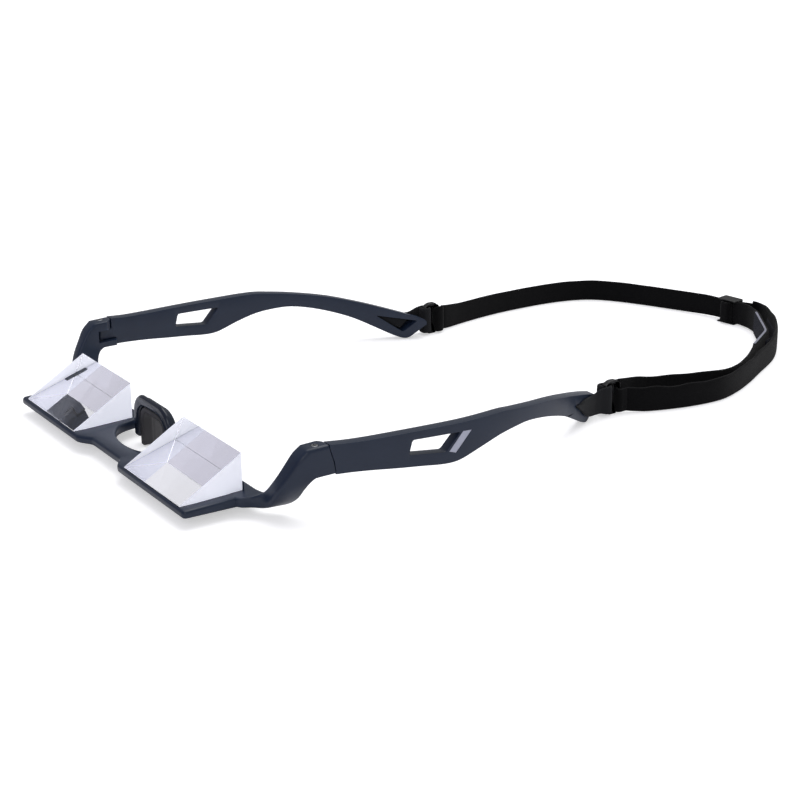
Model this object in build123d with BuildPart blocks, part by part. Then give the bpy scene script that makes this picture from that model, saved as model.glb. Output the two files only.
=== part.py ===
from build123d import *
import os
from math import atan2, degrees, hypot

os.makedirs("parts", exist_ok=True)

# Sizes are in millimetres. X runs to the wearer's left, Y backwards, Z up from the floor.

# Prisms and their mirrors
prism_width = 35.0
prism_depth = 19.4
prism_height = 11.2
prism_lip = 0.5
prism_inner = 17.7
mirror_thickness = 0.6
mirror_margin = 0.8

# Front frame
floor_gap = 2.7
bed_thickness = 3.5
bed_front_lip = 1.2
bed_rear_lip = 3.8
bed_inner_lip = 3.1
bed_outer_lip = 3.7
bed_corner = 1.4
bed_edge = 0.8
bridge_front = 1.9
bridge_half = 10.5
bridge_setback = 9.2
notch_lip = 1.7
notch_depth = 15.3
notch_shares = [(0.957, 0.307), (0.800, 0.700), (0.455, 0.915), (0.0, 1.0)]

# End pieces, from the beds up to the hinges
end_root = 6.0
end_setback = 9.2
end_reach = 21.3
end_run = 19.3
end_rise = 20.3
end_front_shares = [
    (0.0, 0.0), (0.488, 0.0), (0.629, 0.049), (0.751, 0.133), (0.836, 0.232), (0.901, 0.360),
    (0.962, 0.507), (0.991, 0.704), (1.0, 1.0), (0.793, 1.0), (0.770, 0.828), (0.742, 0.655),
    (0.695, 0.458), (0.624, 0.320), (0.512, 0.227), (0.385, 0.185), (0.216, 0.172), (0.0, 0.172),
]
end_side_shares = [
    (0.0, 0.0), (0.0, 0.172), (0.181, 0.192), (0.290, 0.232), (0.368, 0.320), (0.456, 0.458),
    (0.596, 0.655), (0.746, 0.852), (0.819, 0.931), (0.902, 0.980), (1.0, 1.0), (1.0, 0.498),
    (0.912, 0.478), (0.829, 0.419), (0.767, 0.320), (0.741, 0.212), (0.731, 0.113), (0.710, 0.0),
]
end_plan_shares = [
    (0.0, 0.0), (0.282, 0.052), (0.352, 0.187), (0.479, 0.311), (0.657, 0.363), (1.0, 0.373),
    (1.0, 1.0), (0.737, 1.0), (0.714, 0.798), (0.648, 0.725), (0.535, 0.642), (0.427, 0.549),
    (0.310, 0.482), (0.0, 0.466),
]

# Hinges
pivot_inset = 2.3
knuckle_radius = 3.3
tongue_radius = 2.3
tongue_height = 3.3
knuckle_height = 2.1
hinge_gap = 0.3
swing_gap = 0.4
hinge_height = 10.2
screw_radius = 0.75
screw_head_radius = 1.1
screw_head_height = 0.8
screw_slot_width = 0.4
screw_slot_depth = 0.4
nut_radius = 1.3
nut_height = 1.4
pin_fit = 0.08

# Temples
temple_length = 112.6
temple_thickness = 3.4
temple_bow = 3.0
temple_plan_overrun = 1.0
temple_step = 0.1
temple_outer_shares = [
    (0.960, 0.0), (0.967, 0.054), (0.976, 0.115), (0.987, 0.203), (0.995, 0.291), (1.0, 0.379),
    (0.997, 0.450), (0.985, 0.511), (0.967, 0.573), (0.936, 0.643), (0.882, 0.732), (0.814, 0.820),
    (0.752, 0.890), (0.705, 0.943), (0.659, 1.0),
]
temple_upper_shares = [
    (0.0, 1.0), (0.054, 0.969), (0.116, 0.965), (0.205, 0.974), (0.294, 0.952), (0.383, 0.934),
    (0.498, 0.926), (0.552, 0.878), (0.631, 0.825), (0.734, 0.747), (0.836, 0.607), (0.916, 0.476),
    (0.969, 0.384), (1.0, 0.293),
]
temple_lower_shares = [
    (0.940, 0.022), (0.898, 0.096), (0.853, 0.218), (0.796, 0.371), (0.738, 0.480), (0.676, 0.568),
    (0.614, 0.629), (0.560, 0.616), (0.502, 0.585), (0.436, 0.493), (0.383, 0.410), (0.351, 0.384),
    (0.312, 0.393), (0.258, 0.424), (0.191, 0.459), (0.116, 0.515), (0.054, 0.544), (0.006, 0.563),
]
window_shares = [(0.230, 0.799), (0.373, 0.771), (0.329, 0.541), (0.219, 0.609)]
insert_shares = [(0.380, 0.773), (0.407, 0.764), (0.358, 0.502), (0.337, 0.537)]
insert_thickness = 0.8
insert_fit = 0.05
slot_shares = [(0.858, 0.402), (0.972, 0.301), (0.932, 0.127)]

# Nose arch and pad
arch_setback = 6.2
arch_depth = 3.4
arch_clearance = 4.3
arch_inner_half = 8.7
arch_height = 15.2
arch_inner_height = 11.2
arch_radius = 7.0
arch_inner_radius = 5.0
arch_slope = 1.2
foot_length = 4.0
foot_height = 2.0
foot_lift = 0.7
pad_fit = 0.1
pad_thickness = 2.0
pad_front_step = 0.6
wing_length = 9.8
wing_flare = 4.2
pad_side_shares = [
    (0.0, 0.0), (0.80, 0.0), (0.98, 0.18), (1.0, 0.45), (0.58, 0.86), (0.30, 1.0), (0.0, 1.0),
]

# Webbing, sliders and adjuster
web_thickness = 1.2
web_height = 7.8
web_gap = 0.3
slider_offset = 1.77
slider_gap = 1.8
slider_thickness = 2.6
slider_bar = 0.9
slider_slot = 1.8
slider_rail = 1.7
slider_top_rail = 2.2
slider_play = 0.8
slider_corner = 0.6
anchor_shares = [(0.894, 0.352), (0.952, 0.301), (0.923, 0.179), (0.894, 0.288)]
anchor_side_shares = [
    (0.894, 0.367), (0.960, 0.376), (1.016, 0.425), (1.016, 0.087), (0.950, 0.087), (0.920, 0.162),
    (0.894, 0.275),
]
strap_bulge = 11.0
strap_lap = 0.6
strap_length = 105.0
strap_front_gap = 0.6
rear_play = 0.4
lift_shares = [(0.20, 0.0), (0.80, 0.0), (0.90, 1.0), (1.10, 1.0)]
right_strap_shares = [
    (0.865, 0.124), (0.905, 0.356), (0.890, 0.524), (0.835, 0.652), (0.745, 0.726), (0.561, 0.796),
    (0.337, 0.871),
]
left_outer_shares = [
    (0.903, 0.074), (0.945, 0.159), (0.989, 0.286), (0.994, 0.357), (0.960, 0.448), (0.885, 0.537),
    (0.821, 0.597), (0.669, 0.752), (0.498, 0.858), (0.331, 0.931),
]
left_inner_shares = [
    (0.784, 0.138), (0.827, 0.263), (0.879, 0.358), (0.861, 0.448), (0.777, 0.556), (0.655, 0.665),
    (0.476, 0.795),
]
adjuster_x = 0.5
adjuster_inset = 7.0
adjuster_turn = 8.0
adjuster_length = 8.0
adjuster_bottom = 1.2
adjuster_play = 2.0
adjuster_top = 1.5
adjuster_bar = 1.4
adjuster_bar_thickness = 1.0
adjuster_travel = 4.0
straight_half = 9.5
guide_length = 3.0
label_length = 8.0
label_height = 6.6
label_thickness = 0.5
label_set = 0.71

# The drawing's own zero is at the front edge of the prisms. The part's is in its middle.
middle_y = 128.12

# Places worked out from the sizes
drawing_zero = (0, -middle_y, 0)
plan_plane = Plane(drawing_zero, x_dir=Plane.XY.x_dir, z_dir=Plane.XY.z_dir)
front_plane = Plane(drawing_zero, x_dir=Plane.XZ.x_dir, z_dir=Plane.XZ.z_dir)
side_plane = Plane(drawing_zero, x_dir=Plane.YZ.x_dir, z_dir=Plane.YZ.z_dir)
sides = {"left": 1, "right": -1}
prism_offset = prism_inner + prism_width / 2
bed_top = floor_gap + bed_thickness
bed_width = bed_inner_lip + prism_width + bed_outer_lip
bed_depth = bed_front_lip + prism_depth + bed_rear_lip
bed_x = prism_offset + (bed_outer_lip - bed_inner_lip) / 2
bed_y = (prism_depth + bed_rear_lip - bed_front_lip) / 2
bed_inner = bed_x - bed_width / 2
bed_rear = prism_depth + bed_rear_lip
bridge_rear = bed_rear - bridge_setback
notch_half = bed_inner + notch_lip
end_inner = bed_x + bed_width / 2 - end_root
end_front = bed_rear - end_setback
outer_x = end_inner + end_reach
hinge_top = floor_gap + end_rise
pivot_x = outer_x - pivot_inset
pivot_y = end_front + end_run
hinge_bottom = hinge_top - hinge_height
tongue_bottom = hinge_bottom + knuckle_height + hinge_gap
arch_front = bed_rear - arch_setback
arch_half = notch_half - arch_clearance
temple_front = pivot_y + knuckle_radius + hinge_gap
temple_half_span = outer_x + temple_bow
temple_plan_length = temple_length + temple_plan_overrun
temple_height = hinge_top - temple_step
slider_length = 3 * slider_bar + 2 * slider_slot
slider_front = temple_front + temple_length + slider_gap
slider_x = temple_outer_shares[-1][0] * temple_half_span + slider_offset
slider_opening = web_height + slider_play
slider_height = slider_rail + slider_opening + slider_top_rail
strap_start = slider_front + slider_length - strap_lap
strap_half_width = slider_x + strap_bulge
front_lift = slider_rail + web_gap
rear_lift = adjuster_bottom + rear_play
adjuster_opening = web_height + adjuster_play
adjuster_height = adjuster_bottom + adjuster_opening + adjuster_top
far = strap_start + strap_length
adjuster_y = far - adjuster_inset


def scaled(shares, origin, size):
    """Points of an outline whose shares are of a size, from an origin."""
    return [(origin[0] + a * size[0], origin[1] + b * size[1]) for a, b in shares]


def offset_points(path, distance):
    """Points moved sideways from a path, to the left of its direction."""
    moved = []
    for i in range(len(path)):
        before = path[max(i - 1, 0)]
        after = path[min(i + 1, len(path) - 1)]
        run = hypot(after[0] - before[0], after[1] - before[1])
        step_x = (before[1] - after[1]) / run * distance
        step_y = (after[0] - before[0]) / run * distance
        moved.append((path[i][0] + step_x, path[i][1] + step_y))
    return moved


def turned(u, w):
    """A point of the adjuster's own frame, in the plan."""
    spot = Vector(u, w).rotate(Axis.Z, adjuster_turn)
    return (adjuster_x + spot.X, adjuster_y + spot.Y)


def flipped(points, sign):
    """The same outline on the wearer's left or right."""
    return [(sign * x, y) for x, y in points]


temple_size = (temple_length, temple_height)
temple_origin = (temple_front, 0)
temple_outer = scaled(temple_outer_shares, (0, temple_front), (temple_half_span, temple_plan_length))
temple_inner = offset_points(temple_outer, temple_thickness)
temple_upper = scaled(temple_upper_shares, temple_origin, temple_size)
temple_lower = scaled(temple_lower_shares, temple_origin, temple_size)
window = scaled(window_shares, temple_origin, temple_size)
insert = scaled(insert_shares, temple_origin, temple_size)
slot = scaled(slot_shares, temple_origin, temple_size)

# End piece with the fixed knuckles of the left hinge
end_profile = scaled(end_front_shares, (end_inner, floor_gap), (end_reach, end_rise))
end_side = scaled(end_side_shares, (end_front, floor_gap), (end_run, end_rise))
end_plan = scaled(end_plan_shares, (end_inner, end_front), (end_reach, end_run))
with BuildPart() as end_piece:
    with BuildSketch(front_plane):
        with BuildLine():
            Line(*end_profile[:2])
            Spline(*end_profile[1:9])
            Line(*end_profile[8:10])
            Spline(*end_profile[9:17])
            Polyline(*end_profile[16:], end_profile[0])
        make_face()
    extrude(amount=far, both=True)
    with BuildSketch(side_plane):
        with BuildLine():
            Line(*end_side[:2])
            Spline(*end_side[1:11])
            Line(*end_side[10:12])
            Spline(*end_side[11:])
            Line(end_side[-1], end_side[0])
        make_face()
    extrude(amount=far, mode=Mode.INTERSECT)
    with BuildSketch(plan_plane):
        with BuildLine():
            Line(*end_plan[:2])
            Spline(*end_plan[1:6])
            Polyline(*end_plan[5:8])
            Spline(*end_plan[7:13])
            Polyline(*end_plan[12:], end_plan[0])
        make_face()
    extrude(amount=hinge_top, mode=Mode.INTERSECT)
    with BuildSketch(plan_plane.offset(hinge_bottom)):
        with Locations((pivot_x, pivot_y)):
            Circle(knuckle_radius)
            Rectangle(pivot_inset, knuckle_radius, align=(Align.MIN, Align.MIN))
            Rectangle(far, far, align=(Align.CENTER, Align.MAX), mode=Mode.SUBTRACT)
        with Locations((outer_x, 0)):
            Rectangle(far, far, align=(Align.MIN, Align.MIN), mode=Mode.SUBTRACT)
    extrude(amount=hinge_top - hinge_bottom)
    with BuildSketch(plan_plane.offset(tongue_bottom - hinge_gap)):
        with Locations((pivot_x, pivot_y - tongue_radius - swing_gap)):
            Rectangle(end_reach, end_reach, align=(Align.CENTER, Align.MIN))
    extrude(amount=tongue_height + 2 * hinge_gap, mode=Mode.SUBTRACT)
    with BuildSketch(plan_plane):
        with Locations((pivot_x, pivot_y)):
            Circle(screw_radius + pin_fit)
    extrude(amount=far, mode=Mode.SUBTRACT)
    with BuildSketch(plan_plane.offset(hinge_top - screw_head_height)):
        with Locations((pivot_x, pivot_y)):
            Circle(screw_head_radius + pin_fit)
    extrude(amount=far, mode=Mode.SUBTRACT)
    with BuildSketch(plan_plane):
        with Locations((pivot_x, pivot_y)):
            Circle(nut_radius)
    extrude(amount=hinge_bottom + nut_height, mode=Mode.SUBTRACT)

# Front frame
with BuildPart() as front_frame:
    with BuildSketch(plan_plane.offset(floor_gap)):
        with Locations((bed_x, bed_y), (-bed_x, bed_y)):
            RectangleRounded(bed_width, bed_depth, bed_corner)
        Polygon(
            (-bed_inner - bed_corner, -bed_front_lip), (-bridge_half, bridge_front),
            (bridge_half, bridge_front), (bed_inner + bed_corner, -bed_front_lip),
            (bed_inner + bed_corner, bridge_rear), (-bed_inner - bed_corner, bridge_rear),
            align=None,
        )
        notch = scaled(notch_shares, (0, bed_rear), (notch_half, -notch_depth))
        notch_path = [(notch_half, bed_rear)] + notch
        notch_path += flipped(reversed(notch_path[:-1]), -1)
        with BuildLine():
            Spline(*notch_path)
            Polyline(
                notch_path[-1], (-notch_half, bed_rear + bed_rear_lip),
                (notch_half, bed_rear + bed_rear_lip), notch_path[0],
            )
        make_face(mode=Mode.SUBTRACT)
    extrude(amount=bed_thickness)
    plate_edges = front_frame.edges().group_by(Axis.Z)
    chamfer(plate_edges[0] + plate_edges[-1], bed_edge)
    add(end_piece.part)
    mirror(end_piece.part, about=Plane.YZ)
    for sign in sides.values():
        with Locations((sign * prism_offset, prism_depth / 2 - middle_y, bed_top)):
            Box(
                prism_width - 2 * mirror_margin, prism_depth - 2 * mirror_margin,
                2 * mirror_thickness, mode=Mode.SUBTRACT,
            )
        with Locations((sign * arch_half, arch_front - middle_y, floor_gap + foot_lift)):
            Box(
                2 * foot_length, arch_depth, foot_height,
                align=(Align.CENTER, Align.MIN, Align.MIN), mode=Mode.SUBTRACT,
            )
front_frame.part.label = "front_frame"
export_step(front_frame.part, "parts/front_frame.step")

# Prisms and the mirrors under them
for side, sign in sides.items():
    with BuildPart() as prism:
        with BuildSketch(side_plane.offset(sign * prism_offset)):
            Polygon(
                (0, bed_top), (prism_depth, bed_top), (prism_depth, bed_top + prism_height),
                (0, bed_top + prism_lip), align=None,
            )
        extrude(amount=prism_width / 2, both=True)
    prism.part.label = f"{side}_prism"
    export_step(prism.part, f"parts/{side}_prism.step")

    with BuildPart() as prism_mirror:
        with BuildSketch(plan_plane.offset(bed_top)):
            with Locations((sign * prism_offset, prism_depth / 2)):
                Rectangle(prism_width - 2 * mirror_margin, prism_depth - 2 * mirror_margin)
        extrude(amount=-mirror_thickness)
    prism_mirror.part.label = f"{side}_prism_mirror"
    export_step(prism_mirror.part, f"parts/{side}_prism_mirror.step")

# Nose arch, standing across the notch on two feet
with BuildPart() as nose_arch:
    with BuildSketch(front_plane) as arch_outline:
        with Locations((0, floor_gap)):
            Rectangle(2 * arch_half, arch_height, align=(Align.CENTER, Align.MIN))
        fillet(arch_outline.vertices().group_by(Axis.Y)[-1], arch_radius)
    extrude(amount=far, both=True)
    with BuildSketch(front_plane) as arch_opening:
        with Locations((0, floor_gap + arch_inner_height)):
            Rectangle(2 * arch_inner_half, 2 * arch_height, align=(Align.CENTER, Align.MAX))
        fillet(arch_opening.vertices().group_by(Axis.Y)[-1], arch_inner_radius)
    extrude(amount=far, both=True, mode=Mode.SUBTRACT)
    with BuildSketch(side_plane):
        Polygon(
            (arch_front, floor_gap), (arch_front + arch_depth, floor_gap),
            (arch_front + arch_depth, floor_gap + arch_height - arch_slope),
            (arch_front, floor_gap + arch_height), align=None,
        )
    extrude(amount=far, both=True, mode=Mode.INTERSECT)
    with BuildSketch(plan_plane.offset(floor_gap + foot_lift)):
        for sign in sides.values():
            with Locations((sign * (arch_half + foot_length / 2 - bed_corner / 2), arch_front)):
                Rectangle(foot_length + bed_corner, arch_depth, align=(Align.CENTER, Align.MIN))
    extrude(amount=foot_height)
nose_arch.part.label = "nose_arch"
export_step(nose_arch.part, "parts/nose_arch.step")

# Nose pad, a soft saddle in the arch with a wing on each side
pad_half = arch_inner_half - pad_fit
pad_top = floor_gap + arch_inner_height - pad_fit
pad_start = arch_front + pad_front_step
wing_start = arch_front + arch_depth + pad_fit
wing_end = pad_start + wing_length
with BuildPart() as nose_pad:
    with BuildSketch(front_plane) as pad_outline:
        with Locations((0, pad_top)):
            Rectangle(2 * pad_half, pad_top, align=(Align.CENTER, Align.MAX))
        fillet(pad_outline.vertices().group_by(Axis.Y)[-1], arch_inner_radius - pad_fit)
    extrude(amount=-wing_start)
    with BuildSketch(front_plane) as pad_opening:
        with Locations((0, pad_top - pad_thickness)):
            Rectangle(
                2 * (pad_half - pad_thickness), 2 * pad_top, align=(Align.CENTER, Align.MAX)
            )
        fillet(pad_opening.vertices().group_by(Axis.Y)[-1], arch_inner_radius - pad_thickness)
    extrude(amount=far, both=True, mode=Mode.SUBTRACT)
    with BuildSketch(plan_plane):
        for sign in sides.values():
            wing = [
                (pad_half, wing_start), (pad_half + wing_flare, wing_end),
                (pad_half + wing_flare - pad_thickness, wing_end),
                (pad_half - pad_thickness, wing_start),
            ]
            Polygon(*flipped(wing, sign), align=None)
    extrude(amount=pad_top)
    with BuildSketch(side_plane):
        Polygon(*scaled(pad_side_shares, (pad_start, 0), (wing_length, pad_top)), align=None)
    extrude(amount=far, both=True, mode=Mode.INTERSECT)
nose_pad.part.label = "nose_pad"
export_step(nose_pad.part, "parts/nose_pad.step")

# Temples, their inserts and the hinge hardware
for side, sign in sides.items():
    with BuildPart() as temple:
        with BuildSketch(plan_plane):
            with BuildLine():
                Spline(*flipped(temple_outer, sign))
                Spline(*flipped(temple_inner, sign))
                Line(*flipped([temple_outer[0], temple_inner[0]], sign))
                Line(*flipped([temple_outer[-1], temple_inner[-1]], sign))
            make_face()
        extrude(amount=far)
        with BuildSketch(side_plane):
            with BuildLine():
                Spline(*temple_upper)
                Line(temple_upper[-1], temple_lower[0])
                Spline(*temple_lower)
                Line(temple_lower[-1], temple_upper[0])
            make_face()
            Polygon(*window, align=None, mode=Mode.SUBTRACT)
            Polygon(*slot, align=None, mode=Mode.SUBTRACT)
        extrude(amount=far, both=True, mode=Mode.INTERSECT)
        with BuildSketch(side_plane.offset(sign * temple_half_span)):
            Polygon(*insert, align=None)
        extrude(amount=-sign * 2 * insert_thickness, mode=Mode.SUBTRACT)
        with BuildSketch(plan_plane.offset(tongue_bottom)):
            with Locations((sign * pivot_x, pivot_y)):
                Circle(tongue_radius)
            tongue = [
                (outer_x, pivot_y), (outer_x, temple_front + pivot_inset),
                (outer_x - temple_thickness, temple_front + pivot_inset),
                (outer_x - temple_thickness, pivot_y),
            ]
            Polygon(*flipped(tongue, sign), align=None)
            with Locations((sign * pivot_x, pivot_y)):
                Circle(screw_radius + pin_fit, mode=Mode.SUBTRACT)
        extrude(amount=tongue_height)
    temple.part.label = f"{side}_temple"
    export_step(temple.part, f"parts/{side}_temple.step")

    with BuildPart() as temple_insert:
        with BuildSketch(plan_plane):
            skin_outer = offset_points(temple_outer, insert_fit)
            skin_inner = offset_points(temple_outer, insert_thickness)
            with BuildLine():
                Spline(*flipped(skin_outer, sign))
                Spline(*flipped(skin_inner, sign))
                Line(*flipped([skin_outer[0], skin_inner[0]], sign))
                Line(*flipped([skin_outer[-1], skin_inner[-1]], sign))
            make_face()
        extrude(amount=far)
        with BuildSketch(side_plane):
            Polygon(*insert, align=None)
            offset(amount=-insert_fit, mode=Mode.REPLACE)
        extrude(amount=far, both=True, mode=Mode.INTERSECT)
    temple_insert.part.label = f"{side}_temple_insert"
    export_step(temple_insert.part, f"parts/{side}_temple_insert.step")

    with BuildPart() as hinge_screw:
        with BuildSketch(plan_plane.offset(hinge_bottom)):
            with Locations((sign * pivot_x, pivot_y)):
                Circle(screw_radius)
        extrude(amount=hinge_top - hinge_bottom)
        with BuildSketch(plan_plane.offset(hinge_top - pin_fit)):
            with Locations((sign * pivot_x, pivot_y)):
                Circle(screw_head_radius)
        extrude(amount=pin_fit - screw_head_height)
        with BuildSketch(plan_plane.offset(hinge_top - pin_fit)):
            with Locations((sign * pivot_x, pivot_y)):
                Rectangle(2 * screw_head_radius, screw_slot_width)
                Rectangle(screw_slot_width, 2 * screw_head_radius)
        extrude(amount=-screw_slot_depth, mode=Mode.SUBTRACT)
        with BuildSketch(plan_plane.offset(hinge_top - pin_fit)):
            with Locations((sign * pivot_x, pivot_y)):
                Circle(screw_radius)
        extrude(amount=screw_head_height, mode=Mode.SUBTRACT)
    hinge_screw.part.label = f"{side}_hinge_screw"
    export_step(hinge_screw.part, f"parts/{side}_hinge_screw.step")

    with BuildPart() as hinge_nut:
        with BuildSketch(plan_plane.offset(hinge_bottom)):
            with Locations((sign * pivot_x, pivot_y)):
                Circle(nut_radius)
                Circle(screw_radius, mode=Mode.SUBTRACT)
        extrude(amount=nut_height)
    hinge_nut.part.label = f"{side}_hinge_nut"
    export_step(hinge_nut.part, f"parts/{side}_hinge_nut.step")

# Sliders at the temple tips, with the webbing turned round their bars
ring_half = slider_thickness / 2 + web_gap + web_thickness
anchor_inner = offset_points(temple_outer, -web_gap)
anchor_outer = offset_points(temple_outer, -web_gap - web_thickness)
anchor_first = len(temple_outer) - 4
front_ring = slider_front - web_gap - web_thickness
front_ring_depth = 2 * web_thickness + slider_bar + 2 * web_gap
rear_ring = slider_front + 2 * slider_bar + slider_slot + web_gap
rear_ring_depth = front_ring_depth
for side, sign in sides.items():
    with BuildPart() as slider:
        with BuildSketch(side_plane.offset(sign * slider_x)):
            with Locations((slider_front + slider_length / 2, slider_height / 2)):
                RectangleRounded(slider_length, slider_height, slider_corner)
            for step in (-1, 1):
                slot_y = slider_front + slider_length / 2 + step * (slider_bar + slider_slot) / 2
                with Locations((slot_y, slider_rail)):
                    Rectangle(
                        slider_slot, slider_opening, align=(Align.CENTER, Align.MIN),
                        mode=Mode.SUBTRACT,
                    )
        extrude(amount=slider_thickness / 2, both=True)
    slider.part.label = f"{side}_strap_slider"
    export_step(slider.part, f"parts/{side}_strap_slider.step")

    with BuildPart() as hook:
        with BuildSketch(side_plane):
            Polygon(*scaled(anchor_shares, temple_origin, temple_size), align=None)
        extrude(amount=far, both=True)
        with BuildSketch(plan_plane):
            block = temple_inner[anchor_first:] + anchor_outer[:anchor_first - 1:-1]
            Polygon(*flipped(block, sign), align=None)
        extrude(amount=far, mode=Mode.INTERSECT)

    with BuildPart() as tip_loop:
        with BuildSketch(plan_plane):
            band = anchor_inner[anchor_first:] + anchor_outer[:anchor_first - 1:-1]
            Polygon(*flipped(band, sign), align=None)
            with Locations((sign * slider_x, front_ring)):
                Rectangle(2 * ring_half, front_ring_depth, align=(Align.CENTER, Align.MIN))
            with Locations((sign * slider_x, front_ring + web_thickness)):
                Rectangle(
                    slider_thickness + 2 * web_gap, slider_bar + 2 * web_gap,
                    align=(Align.CENTER, Align.MIN), mode=Mode.SUBTRACT,
                )
        extrude(amount=far)
        with BuildSketch(side_plane):
            side_points = scaled(anchor_side_shares, temple_origin, temple_size)
            ring_points = [
                (front_ring + front_ring_depth, front_lift + web_height),
                (front_ring + front_ring_depth, front_lift),
            ]
            Polygon(*side_points[:3], *ring_points, *side_points[3:], align=None)
        extrude(amount=far, both=True, mode=Mode.INTERSECT)
        add(hook.part)
    tip_loop.part.label = f"{side}_tip_loop"
    export_step(tip_loop.part, f"parts/{side}_tip_loop.step")

    with BuildPart() as strap_end:
        with BuildSketch(plan_plane.offset(front_lift)):
            with Locations((sign * slider_x, rear_ring)):
                Rectangle(2 * ring_half, rear_ring_depth, align=(Align.CENTER, Align.MIN))
            ring_hole = slider_bar + 2 * web_gap
            if side == "left":
                ring_hole = rear_ring_depth
            with Locations((sign * slider_x, rear_ring + web_thickness)):
                Rectangle(
                    slider_thickness + 2 * web_gap, ring_hole,
                    align=(Align.CENTER, Align.MIN), mode=Mode.SUBTRACT,
                )
        extrude(amount=web_height)
    strap_end.part.label = f"{side}_strap_end"
    export_step(strap_end.part, f"parts/{side}_strap_end.step")

# Webbing of the strap and the plan of its runs
run_start = rear_ring + rear_ring_depth + strap_front_gap
strap_size = (strap_half_width, strap_length)
lift = [(strap_start, front_lift)] + [
    (strap_start + a * strap_length, b * rear_lift) for a, b in lift_shares
]
lifted = [(y, z + web_height) for y, z in reversed(lift)]
turn_half = adjuster_bar / 2 + web_gap + web_thickness
bar_w = web_thickness / 2 + web_gap + web_thickness + web_gap
turn_low = bar_w + adjuster_bar_thickness + web_gap + web_thickness
turn_high = web_thickness / 2 + web_gap
inner_w = (turn_low + turn_high) / 2
inner_u = turn_half + adjuster_travel + web_gap
inner_ends = [turned(inner_u + guide_length, -inner_w), turned(inner_u, -inner_w)]
right_ends = [turned(-straight_half - guide_length, 0), turned(-straight_half, 0)]
outer_ends = [turned(straight_half + guide_length, 0), turned(straight_half, 0)]
leg_x = slider_thickness / 2 + web_gap + web_thickness / 2
right_path = [(slider_x, run_start)] + scaled(right_strap_shares, (0, strap_start), strap_size)
outer_path = [(slider_x + leg_x, run_start)]
outer_path += scaled(left_outer_shares, (0, strap_start), strap_size)
inner_path = [(slider_x - leg_x, run_start)]
inner_path += scaled(left_inner_shares, (0, strap_start), strap_size)
runs = {
    "right_strap": flipped(right_path, -1) + right_ends,
    "left_strap_outer": outer_path + outer_ends,
    "left_strap_inner": inner_path + inner_ends,
}
for name, path in runs.items():
    with BuildPart() as strap:
        with BuildSketch(plan_plane):
            left_edge = offset_points(path, web_thickness / 2)
            right_edge = offset_points(path, -web_thickness / 2)
            with BuildLine():
                Spline(*left_edge)
                Spline(*right_edge)
                Line(left_edge[0], right_edge[0])
                Line(left_edge[-1], right_edge[-1])
            make_face()
            if name == "right_strap":
                Polygon(
                    left_edge[-1], turned(straight_half, web_thickness / 2),
                    turned(straight_half, -web_thickness / 2), right_edge[-1], align=None,
                )
        extrude(amount=far)
        with BuildSketch(side_plane):
            Polygon(*lift, *lifted, align=None)
        extrude(amount=far, both=True, mode=Mode.INTERSECT)
    strap.part.label = name
    export_step(strap.part, f"parts/{name}.step")

# Adjuster at the back, with the inner run's end turned round its middle bar
bar_out = web_thickness / 2 + web_gap
adjuster_place = Location((adjuster_x, adjuster_y - middle_y, 0), (0, 0, adjuster_turn))
adjuster_plane = Plane(adjuster_place)
outer_bar_u = (adjuster_length - adjuster_bar) / 2
with BuildPart() as strap_adjuster:
    with BuildSketch(adjuster_plane):
        with Locations((0, bar_out + adjuster_bar_thickness)):
            Rectangle(
                adjuster_length, bar_out + 2 * adjuster_bar_thickness + bar_w,
                align=(Align.CENTER, Align.MAX),
            )
    extrude(amount=adjuster_height)
    with BuildSketch(adjuster_plane.offset(adjuster_bottom)):
        Rectangle(far, far)
        for u in (-outer_bar_u, outer_bar_u):
            with Locations((u, bar_out)):
                Rectangle(
                    adjuster_bar, adjuster_bar_thickness, align=(Align.CENTER, Align.MIN),
                    mode=Mode.SUBTRACT,
                )
        with Locations((0, -bar_w)):
            Rectangle(
                adjuster_bar, adjuster_bar_thickness, align=(Align.CENTER, Align.MAX),
                mode=Mode.SUBTRACT,
            )
    extrude(amount=adjuster_opening, mode=Mode.SUBTRACT)
strap_adjuster.part.label = "strap_adjuster"
export_step(strap_adjuster.part, "parts/strap_adjuster.step")

with BuildPart() as adjuster_turn_web:
    with BuildSketch(adjuster_plane.offset(rear_lift)):
        with Locations((0, -inner_w)):
            Rectangle(2 * turn_half, turn_low - turn_high)
            Rectangle(
                adjuster_bar + 2 * web_gap, adjuster_bar_thickness + 2 * web_gap,
                mode=Mode.SUBTRACT,
            )
    extrude(amount=web_height)
adjuster_turn_web.part.label = "adjuster_strap_end"
export_step(adjuster_turn_web.part, "parts/adjuster_strap_end.step")

# Label on the inner side of the outer run
label_from, label_to = outer_path[-3], outer_path[-2]
label_run = hypot(label_to[0] - label_from[0], label_to[1] - label_from[1])
label_angle = degrees(atan2(label_to[1] - label_from[1], label_to[0] - label_from[0]))
label_x = (label_from[0] + label_to[0]) / 2
label_y = (label_from[1] + label_to[1]) / 2
label_side = Vector(0, label_set).rotate(Axis.Z, label_angle)
with BuildPart() as strap_label:
    with BuildSketch(plan_plane.offset(web_height - label_height)):
        with Locations(Location((label_x + label_side.X, label_y + label_side.Y), label_angle)):
            Rectangle(label_length, label_thickness)
    extrude(amount=label_height)
strap_label.part.label = "strap_label"
export_step(strap_label.part, "parts/strap_label.step")
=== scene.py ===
# Belay glasses: glass prisms in a moulded front, folding temples and a webbing head strap.
import bpy
import math
from mathutils import Matrix, Vector, noise


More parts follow.
